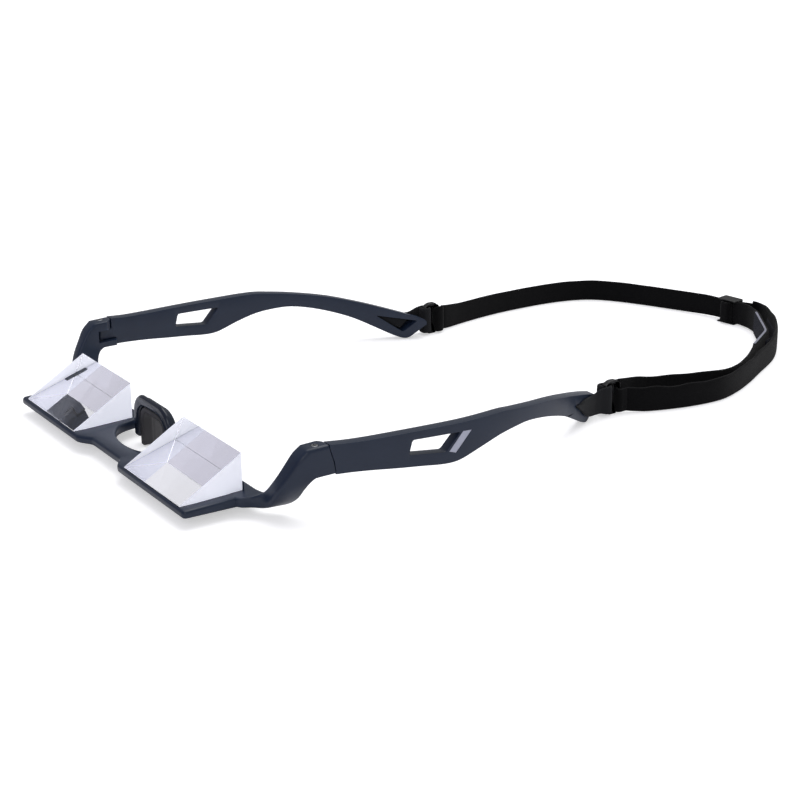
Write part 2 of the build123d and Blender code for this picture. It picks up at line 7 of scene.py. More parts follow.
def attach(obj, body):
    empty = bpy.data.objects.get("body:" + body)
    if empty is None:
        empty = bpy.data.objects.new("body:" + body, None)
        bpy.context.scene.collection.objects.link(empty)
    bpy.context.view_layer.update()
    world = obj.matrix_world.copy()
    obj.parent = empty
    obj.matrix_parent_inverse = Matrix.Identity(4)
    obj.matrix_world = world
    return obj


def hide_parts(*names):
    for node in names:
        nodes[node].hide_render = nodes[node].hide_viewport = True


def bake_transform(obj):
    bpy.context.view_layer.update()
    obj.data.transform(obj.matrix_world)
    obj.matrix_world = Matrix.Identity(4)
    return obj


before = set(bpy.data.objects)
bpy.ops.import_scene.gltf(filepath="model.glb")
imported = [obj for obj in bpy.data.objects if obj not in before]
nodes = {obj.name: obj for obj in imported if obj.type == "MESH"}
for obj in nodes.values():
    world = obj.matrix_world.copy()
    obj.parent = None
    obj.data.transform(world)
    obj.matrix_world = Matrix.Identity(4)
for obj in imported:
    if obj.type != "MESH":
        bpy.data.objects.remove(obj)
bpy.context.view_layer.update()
mm = 0.001
middleY = 128.12  # the drawing's y zero is the prisms' front edge, the part's is its middle
sides = (("left", 1), ("right", -1))


def at(x, y, z):  # a point of the drawing, in millimetres, as metres of the part
    return Vector((x * mm, (y - middleY) * mm, z * mm))


def drawnY(vertex):  # a vertex's y in the drawing
    return vertex.co.y / mm + middleY


def linear(hexColour):  # an sRGB hex value as the linear colour that a shader takes
    channels = [int(hexColour[i:i + 2], 16) / 255 for i in (1, 3, 5)]
    return [c / 12.92 if c <= 0.04045 else ((c + 0.055) / 1.055) ** 2.4 for c in channels] + [1.0]


def addNode(tree, kind, inputs=None, **settings):  # a node with its settings, values and links
    node = tree.nodes.new("ShaderNode" + kind)
    for name, value in settings.items():
        setattr(node, name, value)
    for socket, value in (inputs or {}).items():
        if isinstance(value, bpy.types.NodeSocket):
            tree.links.new(value, node.inputs[socket])
        else:
            node.inputs[socket].default_value = value
    return node


def newMaterial(name, inputs=None):  # a material with its Principled shader set
    material = bpy.data.materials.new(name)
    material.use_nodes = True
    shader = material.node_tree.nodes["Principled BSDF"]
    for socket, value in (inputs or {}).items():
        shader.inputs[socket].default_value = value
    return material, material.node_tree, shader


def activate(obj):
    if bpy.context.mode != "OBJECT":
        bpy.ops.object.mode_set(mode="OBJECT")
    bpy.ops.object.select_all(action="DESELECT")
    obj.select_set(True)
    bpy.context.view_layer.objects.active = obj


def applyModifier(obj, kind, **settings):
    activate(obj)
    modifier = obj.modifiers.new(kind.title(), kind)
    for name, value in settings.items():
        setattr(modifier, name, value)
    bpy.ops.object.modifier_apply(modifier=modifier.name)


def combine(obj, tool, how):  # cuts, joins or keeps what two solids share
    applyModifier(obj, "BOOLEAN", object=tool, operation=how, solver="EXACT")
    bpy.data.objects.remove(tool)


def smoothShade(obj, degrees):  # smooth shading up to an angle, sharp edges past it
    activate(obj)
    bpy.ops.object.shade_smooth_by_angle(angle=math.radians(degrees))


def tidyMesh(obj, flat=0.5):  # merges doubles, dissolves flat seams, turns all faces outwards
    activate(obj)
    bpy.ops.object.mode_set(mode="EDIT")
    bpy.ops.mesh.select_all(action="SELECT")
    bpy.ops.mesh.remove_doubles(threshold=0.01 * mm)
    bpy.ops.mesh.dissolve_limited(angle_limit=math.radians(flat))
    bpy.ops.mesh.select_all(action="SELECT")
    bpy.ops.mesh.normals_make_consistent(inside=False)
    bpy.ops.object.mode_set(mode="OBJECT")


def soften(obj, width, segments=3, sharp=32, smooth=40, clamp=False):  # rounded edges, smooth shading
    applyModifier(
        obj, "BEVEL", width=width * mm, segments=segments, limit_method="ANGLE",
        angle_limit=math.radians(sharp), miter_outer="MITER_ARC", use_clamp_overlap=clamp,
    )
    smoothShade(obj, smooth)


def smoothLine(points, steps):  # a soft line through given points
    points = [Vector(p) for p in points]
    line = []
    for i in range(len(points) - 1):
        a, b = points[max(i - 1, 0)], points[i]
        c, d = points[i + 1], points[min(i + 2, len(points) - 1)]
        for step in range(steps):
            t = step / steps
            line.append(0.5 * (
                2 * b + (c - a) * t + (2 * a - 5 * b + 4 * c - d) * t ** 2
                + (3 * b - a - 3 * c + d) * t ** 3
            ))
    return line + [points[-1]]


def softOutline(points, steps=3):  # the same for a flat outline
    return [(p.x, p.y) for p in smoothLine([(a, b, 0) for a, b in points], steps)]


def arc(cx, cy, radius, start, end, steps=6):  # points of an arc, angles in degrees
    turns = [math.radians(start + (end - start) * i / steps) for i in range(steps + 1)]
    return [(cx + radius * math.cos(t), cy + radius * math.sin(t)) for t in turns]


def circle(cx, cy, radius):
    return arc(cx, cy, radius, 0, 345, 23)


def rectangle(x0, y0, x1, y1):
    return [(x0, y0), (x1, y0), (x1, y1), (x0, y1)]


def sided(sign, outline):  # an outline on the left side, with 1, or on the right one, with -1
    return [(sign * x, y) for x, y in outline]


def mirrored(outline):  # an outline's points and the same ones on the other side, in order
    return outline + [(-x, y) for x, y in reversed(outline)]


def roundCorners(points, radius, steps=3):  # a ring of points with each corner cut to a small curve
    rounded = []
    points = [Vector(p) for p in points]
    for i, point in enumerate(points):
        reach = radius[i] if isinstance(radius, tuple) else radius
        before, after = points[i - 1], points[(i + 1) % len(points)]
        start = point + (before - point).normalized() * reach
        end = point + (after - point).normalized() * reach
        for step in range(steps + 1):
            t = step / steps
            rounded.append((1 - t) ** 2 * start + 2 * t * (1 - t) * point + t ** 2 * end)
    return rounded


def between(table, key):  # the value at a key, from (key, value) rows
    for (k0, v0), (k1, v1) in zip(table, table[1:]):
        if key <= k1:
            return v0 + (v1 - v0) * max(0.0, (key - k0) / (k1 - k0))
    return table[-1][1]


def sweep(name, sections):  # one filled ring, extruded on through the next ones
    bpy.ops.object.select_all(action="DESELECT")
    bpy.ops.mesh.primitive_circle_add(vertices=len(sections[0]), fill_type="NGON")
    obj = bpy.context.object
    obj.name = name
    for vertex, place in zip(obj.data.vertices, sections[0]):
        vertex.co = place
    obj.location = (0, 0, 0)
    for section in sections[1:]:
        bpy.ops.object.mode_set(mode="EDIT")
        bpy.ops.mesh.extrude_region_move()
        bpy.ops.object.mode_set(mode="OBJECT")
        moved = [v for v in obj.data.vertices if v.select]
        for vertex, place in zip(moved, section):
            vertex.co = place
    bpy.ops.object.mode_set(mode="EDIT")
    bpy.ops.mesh.select_all(action="SELECT")
    bpy.ops.mesh.normals_make_consistent(inside=False)
    bpy.ops.object.mode_set(mode="OBJECT")
    return obj


def plate(name, outline, plane, low, high):  # a flat outline given its thickness
    place = {
        "plan": at,
        "front": lambda a, b, c: at(a, c, b),
        "side": lambda a, b, c: at(c, a, b),
    }[plane]
    return sweep(name, [[place(a, b, c) for a, b in outline] for c in (low, high)])


def cut(obj, outline, plane, low, high):  # takes a plate out of a piece
    combine(obj, plate("cutter", outline, plane, low, high), "DIFFERENCE")


def dress(obj, material, body, slot, *replaced):  # finish, body and the CAD nodes it stands for; slot is not used
    obj.data.materials.clear()
    obj.data.materials.append(material)
    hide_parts(*replaced)
    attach(obj, body)


# Camera, at the place worked out from the photograph
camera = {
    "place": (475.077, -206.076, 206.618), "azimuth": 56.224, "elevation": 20.276, "roll": -0.239,
    "lens": 82.78, "sensor": 36, "shift": (-0.0138, 0.00915), "clip": (0.01, 20),
}
azimuth = math.radians(camera["azimuth"])
elevation = math.radians(camera["elevation"])
roll = math.radians(camera["roll"])
back = Vector((
    math.sin(azimuth) * math.cos(elevation), -math.cos(azimuth) * math.cos(elevation),
    math.sin(elevation),
))
right = (-back).cross(Vector((0, 0, 1))).normalized()
up = back.cross(right)
turnedRight = right * math.cos(roll) + up * math.sin(roll)
turnedUp = up * math.cos(roll) - right * math.sin(roll)
bpy.ops.object.camera_add(location=at(*camera["place"]))
photoCamera = bpy.context.object
photoCamera.rotation_mode = "QUATERNION"
photoCamera.rotation_quaternion = Matrix((turnedRight, turnedUp, back)).transposed().to_quaternion()
photoCamera.data.lens = camera["lens"]
photoCamera.data.sensor_width = camera["sensor"]
photoCamera.data.shift_x, photoCamera.data.shift_y = camera["shift"]
photoCamera.data.clip_start, photoCamera.data.clip_end = camera["clip"]
bpy.context.scene.camera = photoCamera
bpy.context.scene.view_settings.view_transform = "Standard"
print("camera set")

# Studio: a pale floor, two soft lamps and a world that is white to the camera
studio = {
    "floorSize": 12.0, "floorColour": "#e4e4e6", "floorGlow": 0.5, "white": "#ffffff",
    "ambient": 0.62, "sheen": 0.34, "frontColour": "#d6d4e2", "backColour": "#ffffff",
    "colourTurn": (-0.75, 0.15),
    "key": {"place": (-0.25, 0.35, 1.5), "size": 1.3, "power": 13.5},
    "fill": {"place": (1.4, -1.3, 1.2), "size": 1.0, "power": 6.0},
}
white = linear(studio["white"])
bpy.ops.mesh.primitive_plane_add(size=studio["floorSize"])
studioFloor = bpy.context.object
studioFloor.name = "studioFloor"
floorMaterial, tree, shader = newMaterial("paleFloor", {
    "Base Color": linear(studio["floorColour"]), "Roughness": 1.0, "Specular IOR Level": 0.0,
    "Emission Color": white,
})
paths = addNode(tree, "LightPath")
seen = addNode(tree, "Math", {
    0: paths.outputs["Is Camera Ray"], 1: paths.outputs["Is Transmission Ray"],
}, operation="ADD", use_clamp=True)
glow = addNode(tree, "Math", {0: seen.outputs[0], 1: studio["floorGlow"]}, operation="MULTIPLY")
tree.links.new(glow.outputs[0], shader.inputs["Emission Strength"])
studioFloor.data.materials.append(floorMaterial)

world = bpy.data.worlds.new("studioWorld")
world.use_nodes = True
bpy.context.scene.world = world
tree = world.node_tree
tree.nodes.clear()
paths = addNode(tree, "LightPath")
direction = addNode(tree, "TexCoord")
parts = addNode(tree, "SeparateXYZ", {0: direction.outputs["Generated"]})
turn = addNode(tree, "MapRange", {
    "Value": parts.outputs["Y"], "From Min": studio["colourTurn"][0],
    "From Max": studio["colourTurn"][1],
}, interpolation_type="SMOOTHSTEP")
sky = addNode(tree, "MixRGB", {
    "Fac": turn.outputs[0], "Color1": linear(studio["frontColour"]),
    "Color2": linear(studio["backColour"]),
})
level = addNode(tree, "MapRange", {
    "Value": paths.outputs["Is Glossy Ray"], "To Min": studio["ambient"], "To Max": studio["sheen"],
})
lit = addNode(tree, "Background", {"Color": sky.outputs[0], "Strength": level.outputs[0]})
throughGlass = addNode(tree, "Background", {"Color": sky.outputs[0], "Strength": 1.0})
backdrop = addNode(tree, "Background", {"Color": white, "Strength": 1.0})
mixed = addNode(tree, "MixShader", {
    0: paths.outputs["Is Transmission Ray"], 1: lit.outputs[0], 2: throughGlass.outputs[0],
})
final = addNode(tree, "MixShader", {
    0: paths.outputs["Is Camera Ray"], 1: mixed.outputs[0], 2: backdrop.outputs[0],
})
addNode(tree, "OutputWorld", {0: final.outputs[0]})
for name in ("key", "fill"):
    lamp = studio[name]
    aim = (-Vector(lamp["place"])).to_track_quat("-Z", "Y")
    bpy.ops.object.light_add(type="AREA", location=lamp["place"], rotation=aim.to_euler())
    light = bpy.context.object
    light.name = name + "Lamp"
    light.data.size = lamp["size"]
    light.data.energy = lamp["power"]
print("studio set")

# Glass-filled nylon, moulded in a finely sparked tool: dark slate blue, a soft sheen, faint mottling.
# The spark grain is really about 0.1 mm and is drawn coarser, so that it shows.
nylon = {
    "colours": ("#182235", "#1e2a3e"), "patch": 9.0, "grain": 0.35, "sheen": (0.27, 0.38),
    "gloss": 0.4, "bump": (0.12, 0.05),
}
mouldedNylon, tree, shader = newMaterial("mouldedNylon", {"Specular IOR Level": nylon["gloss"]})
place = addNode(tree, "TexCoord")
patches = addNode(tree, "TexNoise", {
    "Vector": place.outputs["Object"], "Scale": 1 / (nylon["patch"] * mm), "Detail": 3.0,
})
shade = addNode(tree, "MixRGB", {
    "Fac": patches.outputs["Fac"], "Color1": linear(nylon["colours"][0]),
    "Color2": linear(nylon["colours"][1]),
})
grain = addNode(tree, "TexNoise", {
    "Vector": place.outputs["Object"], "Scale": 1 / (nylon["grain"] * mm), "Detail": 2.0,
})
sheen = addNode(tree, "MapRange", {
    "Value": grain.outputs["Fac"], "To Min": nylon["sheen"][0], "To Max": nylon["sheen"][1],
})
relief = addNode(tree, "Bump", {
    "Height": grain.outputs["Fac"], "Strength": nylon["bump"][0], "Distance": nylon["bump"][1] * mm,
})
tree.links.new(shade.outputs[0], shader.inputs["Base Color"])
tree.links.new(sheen.outputs[0], shader.inputs["Roughness"])
tree.links.new(relief.outputs[0], shader.inputs["Normal"])

# The same nylon polished in the tool, on the nose arch: glossier and a little darker
polish = {"colours": ("#131a26", "#1b2332"), "patch": 20 / 3, "sheen": (0.16, 0.26)}
polishedNylon, tree, shader = newMaterial("polishedNylon")
place = addNode(tree, "TexCoord")
patches = addNode(tree, "TexNoise", {
    "Vector": place.outputs["Object"], "Scale": 1 / (polish["patch"] * mm),
})
shade = addNode(tree, "MixRGB", {
    "Fac": patches.outputs["Fac"], "Color1": linear(polish["colours"][0]),
    "Color2": linear(polish["colours"][1]),
})
sheen = addNode(tree, "MapRange", {
    "Value": patches.outputs["Fac"], "To Min": polish["sheen"][0], "To Max": polish["sheen"][1],
})
tree.links.new(shade.outputs[0], shader.inputs["Base Color"])
tree.links.new(sheen.outputs[0], shader.inputs["Roughness"])

# Crown glass, ground and polished on its slope and upright face: clear, with hard bright edges
glass = {"colour": "#fbfbfd", "index": 1.517}
opticalGlass, tree, shader = newMaterial("opticalGlass", {
    "Base Color": linear(glass["colour"]), "Roughness": 0.0, "IOR": glass["index"],
    "Transmission Weight": 1.0,
})

# The prism's ends, left as ground: frosting that takes light from both sides, with an even glow added
# as painted light so that they show near white. The grit is too fine to show, so only the cloudiness
# that it gives is drawn.
frosting = {
    "colours": ("#eff1f9", "#f8f9fd"), "glow": ("#e9ecfa", 0.38), "patch": 1.6, "roughness": 0.8,
    "stretch": (1.0, 1.0, 0.25), "through": 0.5,
}
groundGlass, tree, shader = newMaterial("groundGlass", {
    "Roughness": frosting["roughness"], "IOR": glass["index"],
})
place = addNode(tree, "TexCoord")
stretched = addNode(tree, "Mapping", {
    "Vector": place.outputs["Object"], "Scale": frosting["stretch"],
})
frost = addNode(tree, "TexNoise", {
    "Vector": stretched.outputs[0], "Scale": 1 / (frosting["patch"] * mm), "Detail": 3.0,
})
shade = addNode(tree, "MixRGB", {
    "Fac": frost.outputs["Fac"], "Color1": linear(frosting["colours"][0]),
    "Color2": linear(frosting["colours"][1]),
})
tree.links.new(shade.outputs[0], shader.inputs["Base Color"])
translucent = addNode(tree, "BsdfTranslucent", {"Color": shade.outputs[0]})
# painted light: an even glow on the ground ends, which are no lamp
glow = addNode(tree, "Emission", {
    "Color": linear(frosting["glow"][0]), "Strength": frosting["glow"][1],
})
both = addNode(tree, "MixShader", {
    0: frosting["through"], 1: shader.outputs[0], 2: translucent.outputs[0],
})
summed = addNode(tree, "AddShader", {0: both.outputs[0], 1: glow.outputs[0]})
tree.links.new(summed.outputs[0], tree.nodes["Material Output"].inputs["Surface"])

# Silver laid on the polished foot: a clean mirror under the glass
silvering, tree, shader = newMaterial("silvering", {
    "Base Color": linear("#f1f1f6"), "Metallic": 1.0, "Roughness": 0.0,
})


# A small part's finish: a speckle in the colour, the sheen and the relief, coarser than the real grain
# so that it shows
def speckled(name, colours, grainSize, roughness, metallic=0.0, bump=(0.1, 0.04)):
    material, tree, shader = newMaterial(name, {"Metallic": metallic})
    place = addNode(tree, "TexCoord")
    grain = addNode(tree, "TexNoise", {
        "Vector": place.outputs["Object"], "Scale": 1 / (grainSize * mm), "Detail": 3.0,
    })
    shade = addNode(tree, "MixRGB", {
        "Fac": grain.outputs["Fac"], "Color1": linear(colours[0]), "Color2": linear(colours[1]),
    })
    sheen = addNode(tree, "MapRange", {
        "Value": grain.outputs["Fac"], "To Min": roughness[0], "To Max": roughness[1],
    })
    relief = addNode(tree, "Bump", {
        "Height": grain.outputs["Fac"], "Strength": bump[0], "Distance": bump[1] * mm,
    })
    tree.links.new(shade.outputs[0], shader.inputs["Base Color"])
    tree.links.new(sheen.outputs[0], shader.inputs["Roughness"])
    tree.links.new(relief.outputs[0], shader.inputs["Normal"])
    return material


# Moulded rubber: a dull charcoal with a bloom on it
softRubber = speckled("softRubber", ("#2d2c2f", "#38373a"), 0.6, (0.5, 0.65))
# Moulded acetal: black, with a low shine along its rounded edges
bucklePlastic = speckled("bucklePlastic", ("#0c0d0e", "#141517"), 0.5, (0.38, 0.55))
# Moulded ABS: a matt lilac grey
insertPlastic = speckled("insertPlastic", ("#a7aabc", "#b6b9c9"), 0.7, (0.5, 0.6))
# Turned stainless steel: grey, with a satin shine
screwSteel = speckled("screwSteel", ("#7e8084", "#a2a4a8"), 0.25, (0.25, 0.4), metallic=1.0)
# Turned brass: a dull gold
nutBrass = speckled("nutBrass", ("#9c7a3c", "#b8934d"), 0.4, (0.3, 0.45), metallic=1.0)

# Woven tape: ribs along it crossed by picks, on the coordinates each band keeps in millimetres. Rib and
# pick are thread spacings, and the tufts of fuzz are coarser than the real ones, so that they show.
weaving = {
    "roughness": 0.9, "gloss": 0.1, "sheen": 0.07, "sheenRoughness": 0.5, "tuft": 1 / 3,
    "bump": (0.5, 0.08),
}


def woven(name, dark, light, rib=0.62, pick=0.5, fuzz=0.3):
    material, tree, shader = newMaterial(name, {
        "Roughness": weaving["roughness"], "Specular IOR Level": weaving["gloss"],
        "Sheen Weight": weaving["sheen"], "Sheen Roughness": weaving["sheenRoughness"],
    })
    place = addNode(tree, "Attribute", attribute_name="weave")
    axes = addNode(tree, "SeparateXYZ", {0: place.outputs["Vector"]})
    waves = []
    for axis, pitch in (("X", pick), ("Y", rib)):
        turn = addNode(tree, "Math", {
            0: axes.outputs[axis], 1: 2 * math.pi / pitch,
        }, operation="MULTIPLY")
        waves.append(addNode(tree, "Math", {0: turn.outputs[0]}, operation="SINE"))
    weave = addNode(tree, "Math", {
        0: waves[0].outputs[0], 1: waves[1].outputs[0],
    }, operation="MULTIPLY")
    fluff = addNode(tree, "TexNoise", {
        "Vector": place.outputs["Vector"], "Scale": 1 / weaving["tuft"], "Detail": 5.0,
    })
    fuzzy = addNode(tree, "Math", {
        0: fluff.outputs["Fac"], 1: fuzz, 2: weave.outputs[0],
    }, operation="MULTIPLY_ADD")
    height = addNode(tree, "MapRange", {
        "Value": weave.outputs[0], "From Min": -1.0, "From Max": 1.0,
    })
    tone = addNode(tree, "Math", {
        0: height.outputs[0], 1: fluff.outputs["Fac"],
    }, operation="MULTIPLY", use_clamp=True)
    shade = addNode(tree, "MixRGB", {
        "Fac": tone.outputs[0], "Color1": linear(dark), "Color2": linear(light),
    })
    relief = addNode(tree, "Bump", {
        "Height": fuzzy.outputs[0], "Strength": weaving["bump"][0],
        "Distance": weaving["bump"][1] * mm,
    })
    tree.links.new(shade.outputs[0], shader.inputs["Base Color"])
    tree.links.new(relief.outputs[0], shader.inputs["Normal"])
    return material


# Polyester woven over rubber threads: black, with almost no shine
elasticWebbing = woven("elasticWebbing", "#040405", "#101012")
# Plain polyester webbing at the tips: coarser and a shade greyer
tipWebbing = woven("tipWebbing", "#151618", "#2e2f32", rib=0.8, pick=0.6)
# Damask label tape: a fine navy weave; the light grey one along its folded top edge is a painted
# highlight
labelTape = woven("labelTape", "#070a18", "#10152b", rib=0.35, pick=0.35, fuzz=0.2)
labelFold = woven("labelFold", "#7d7f8c", "#b4b5c0", rib=0.3, pick=0.3, fuzz=0.2)
print("plastics, glass and webbing made")

# Front frame: beds, bridge and nose notch in one plate that thins out towards its front edge
front = {
    "low": 2.7, "high": 6.2, "corner": 1.4, "outer": 56.4, "near": -1.2, "far": 23.2,
    "bridge": [(0, 1.9), (8.4, 1.9), (10.0, 1.6), (11.6, 0.6), (13.2, -0.5), (14.8, -1.1)],
    "notch": [(16.3, 23.2), (16.2, 21.4), (15.6, 18.5), (14.7, 15.4), (13.0, 12.5), (10.4, 10.4),
              (7.4, 9.0), (3.8, 8.15), (0, 7.9)],
    "edge": 0.85, "middle": 4.5, "topDrop": 0.65, "lowRise": 0.5,
    "pocket": (17.6, -0.42, 52.8, 19.5), "pocketFloor": 5.2, "pocketOver": 9.0, "smooth": 38,
}


def thinned(y, z):  # heights of the beds: the front edge is thinner than the rear one
    share = 1 - min(1.0, max(0.0, (y - front["near"]) / (front["far"] - front["near"])))
    return z - front["topDrop"] * share if z > front["middle"] else z + front["lowRise"] * share


corner = front["corner"]
outline = softOutline(front["bridge"])
outline += arc(front["outer"] - corner, front["near"] + corner, corner, -90, 0)
outline += arc(front["outer"] - corner, front["far"] - corner, corner, 0, 90)
outline += softOutline(front["notch"])
outline += sided(-1, reversed(outline[1:-1]))
frontFrame = plate("frontFrame", outline, "plan", front["low"], front["high"])
soften(frontFrame, front["edge"])
for side, sign in sides:
    pocket = sided(sign, rectangle(*front["pocket"]))
    cut(frontFrame, pocket, "plan", front["pocketFloor"], front["pocketOver"])
for vertex in frontFrame.data.vertices:
    vertex.co.z = thinned(drawnY(vertex), vertex.co.z / mm) * mm

# End pieces: a ribbon that leaves each bed's rear corner, climbs outwards and backwards to the hinge
arm = {
    "stations": [  # front top, front bottom, rear bottom and rear top corners
        ((51.0, 14.8, 6.0), (51.0, 14.8, 2.9), (51.0, 22.7, 2.7), (51.0, 22.7, 6.2)),
        ((56.4, 14.9, 6.0), (56.4, 15.1, 2.9), (56.4, 23.3, 2.7), (55.5, 23.3, 6.2)),
        ((57.9, 16.1, 6.1), (58.2, 18.4, 2.7), (59.5, 26.1, 2.6), (57.6, 23.9, 6.2)),
        ((59.2, 18.2, 6.4), (60.7, 20.7, 2.8), (61.6, 28.1, 2.7), (59.6, 25.8, 6.7)),
        ((61.2, 20.3, 7.7), (63.6, 21.0, 4.1), (63.9, 29.3, 3.9), (61.4, 27.6, 8.0)),
        ((62.8, 21.4, 9.5), (65.8, 20.9, 6.1), (66.0, 30.2, 5.8), (63.0, 29.0, 9.8)),
        ((64.2, 22.4, 11.8), (67.8, 21.3, 8.9), (68.2, 30.6, 8.5), (64.4, 30.1, 11.1)),
        ((65.1, 23.8, 14.2), (69.4, 22.8, 12.0), (69.9, 31.3, 10.8), (65.4, 31.3, 12.2)),
        ((65.6, 26.0, 17.4), (70.6, 25.3, 16.1), (71.3, 32.4, 12.6), (66.0, 32.8, 12.8)),
        ((65.9, 28.0, 20.0), (71.4, 27.3, 19.2), (71.7, 33.6, 12.9), (66.1, 33.6, 12.9)),
        ((66.1, 30.4, 21.8), (71.7, 30.1, 21.7), (71.7, 35.4, 12.9), (66.1, 35.4, 12.9)),
        ((66.1, 42.0, 22.1), (71.7, 42.0, 22.1), (71.7, 42.0, 12.9), (66.1, 42.0, 12.9)),
    ],
    "round": (0.9, 1.35, 0.7, 0.8), "pivot": (69.4, 33.3), "inner": 64.2, "skin": 70.8,
    "knuckle": 3.3, "end": 36.6, "lowKnuckle": 5.3, "lowEnd": 38.2,
    "seam": [(36.35, 24.0), (36.4, 22.4), (36.9, 20.1), (38.0, 16.7), (38.5, 13.3), (38.5, 9.0)],
    "beyond": [(50.0, 9.0), (50.0, 24.0)], "beyondX": (55.0, 80.0),
    "gap": (14.9, 18.8), "gapFront": 31.2,
    "cutInner": 60.0, "cutRear": 45.0, "cutLow": 10.0, "cutHigh": 26.0,
    "bores": ((1.16, 20.9, 26.0), (0.86, 12.88, 26.0), (1.38, 12.88, 14.3)),  # head, shank, insert
    "stop": (52.86, 19.25, 53.16, 19.75), "stopHeights": (5.6, 8.7), "stopEdge": 0.1,
}
px, py = arm["pivot"]
skin, inside, rear = arm["skin"], arm["cutInner"], arm["cutRear"]
tracks = [smoothLine([station[k] for station in arm["stations"][:-1]], 3) for k in range(4)]
rings = list(zip(*tracks)) + [arm["stations"][-1]]
rings = [roundCorners(ring, arm["round"], 4) for ring in rings]
for side, sign in sides:
    ribbon = sweep(side + "Arm", [[at(sign * p.x, p.y, p.z) for p in ring] for ring in rings])
    combine(frontFrame, ribbon, "UNION")
    # a small lug against the prism's rear corner
    stop = plate("stop", sided(sign, rectangle(*arm["stop"])), "plan", *arm["stopHeights"])
    soften(stop, arm["stopEdge"])
    combine(frontFrame, stop, "UNION")
    # both knuckles, rounded about the pivot and open behind the skin that stays outside them
    middle = arm["gap"][0]
    for radius, end, low, high in ((arm["knuckle"], arm["end"], middle, arm["cutHigh"]),
                                   (arm["lowKnuckle"], arm["lowEnd"], arm["cutLow"], middle)):
        turn = math.degrees(math.acos(min(1.0, (px - arm["inner"]) / radius)))
        rounding = arc(px, py, radius, 180 - turn, 90, 12)
        rounding += [(px, rear), (inside, rear), (inside, py)]
        cut(frontFrame, sided(sign, rounding), "plan", low, high)
        cut(frontFrame, sided(sign, rectangle(inside, end, skin, rear)), "plan", low, high)
    low, high = arm["beyondX"]
    cut(frontFrame, arm["seam"] + arm["beyond"], "side", sign * low, sign * high)
    gap = rectangle(inside, arm["gapFront"], skin, rear)
    cut(frontFrame, sided(sign, gap), "plan", *arm["gap"])
    for radius, low, high in arm["bores"]:
        cut(frontFrame, circle(sign * px, py, radius), "plan", low, high)
tidyMesh(frontFrame, 0.1)
smoothShade(frontFrame, front["smooth"])
dress(frontFrame, mouldedNylon, "front", "frame_plastic", "front_frame")
print("front frame made")

# Prisms: polished slope and upright face, ground ends, silvered foot over a thin backing plate
prism = {
    "width": 35.0, "front": -0.35, "depth": 19.4, "top": 17.4, "foot": 5.62, "lip": 0.3,
    "offset": 35.2, "bevel": 0.06, "backing": (17.8, -0.25, 52.6, 19.3), "backingHeights": (5.22, 5.57),
}
for side, sign in sides:
    bpy.ops.object.select_all(action="DESELECT")
    bpy.ops.mesh.primitive_cube_add(size=1)
    block = bpy.context.object
    block.name = side + "Prism"
    for vertex in block.data.vertices:
        x = sign * prism["offset"] + math.copysign(prism["width"] / 2, vertex.co.x)
        y = prism["depth"] if vertex.co.y > 0 else prism["front"]
        crest = prism["top"] if y > 0 else prism["foot"] + prism["lip"]
        vertex.co = at(x, y, prism["foot"] if vertex.co.z < 0 else crest)
    bpy.ops.object.mode_set(mode="EDIT")
    bpy.ops.mesh.select_all(action="SELECT")
    bpy.ops.mesh.bevel(offset=prism["bevel"] * mm, segments=1, affect="EDGES")
    bpy.ops.mesh.select_all(action="SELECT")
    bpy.ops.mesh.normals_make_consistent(inside=False)
    bpy.ops.object.mode_set(mode="OBJECT")
    dress(block, opticalGlass, "front", "prism_glass", side + "_prism")
    block.data.materials.append(groundGlass)
    block.data.materials.append(silvering)
    for face in block.data.polygons:
        if abs(face.normal.x) > 0.9:
            face.material_index = 1
        elif face.normal.z < -0.9:
            face.material_index = 2
    low, high = prism["backingHeights"]
    backing = sided(sign, rectangle(*prism["backing"]))
    backing = plate(side + "Backing", backing, "plan", low, high)
    for vertex in backing.data.vertices:
        if vertex.co.z < (low + high) / 2 * mm:
            vertex.co.z = thinned(drawnY(vertex), low) * mm
    dress(backing, silvering, "front", "mirror_coat", side + "_prism_mirror")
print("prisms made")

